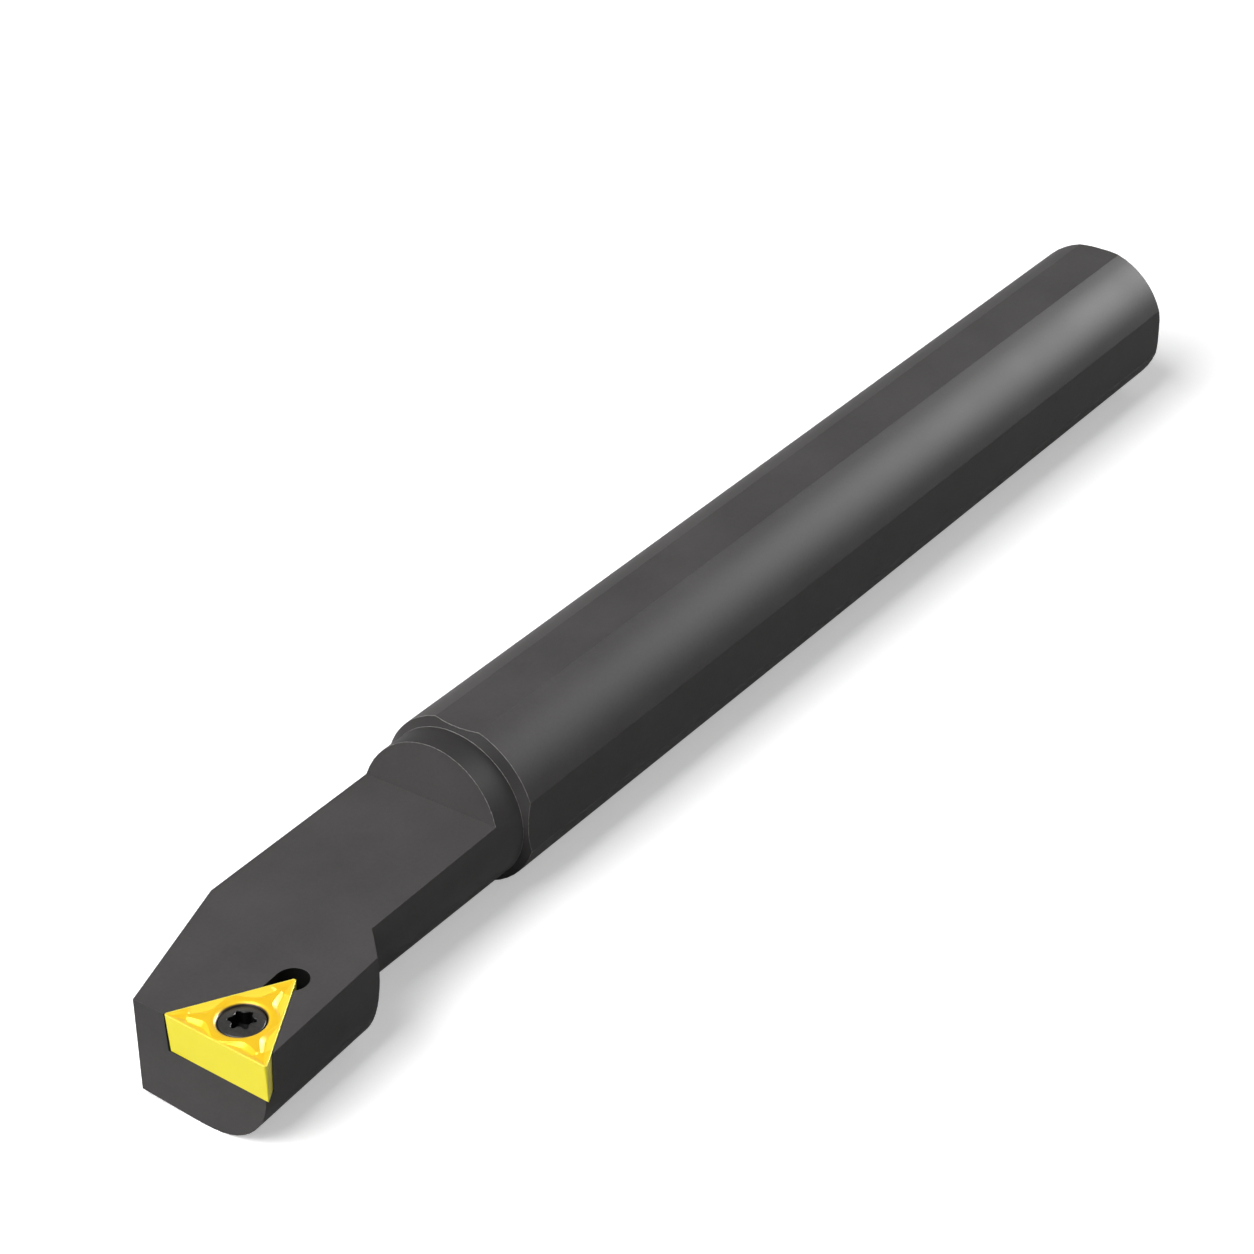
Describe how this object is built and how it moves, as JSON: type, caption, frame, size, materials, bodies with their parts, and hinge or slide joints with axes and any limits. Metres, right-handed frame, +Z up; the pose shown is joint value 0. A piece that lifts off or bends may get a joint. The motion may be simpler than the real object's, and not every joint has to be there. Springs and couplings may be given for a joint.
{
  "type": "internal turning tool holder",
  "caption": "Internal turning tool holder: a round steel shank with clamping flats, a reduced neck and an offset head that holds a screwed-on triangular carbide insert.",
  "frame": {"origin": "centre of the shank's back end face, on the shank's axis", "axes": "+X along the shank towards the cutting head, +Y towards the side where the cutting tip stands out, +Z up, the way the insert's cutting face looks"},
  "size_m": [0.15, 0.0193, 0.0157],
  "materials": {
    "blackened_steel": "chemically blackened, fine satin",
    "coated_carbide": "yellow ceramic coating on sintered carbide",
    "screw_steel": "hardened and oiled, dark satin"
  },
  "bodies": {
    "root": {"bar": "blackened_steel", "insert": "coated_carbide", "clamp_screw": "screw_steel"}
  },
  "joints": []
}
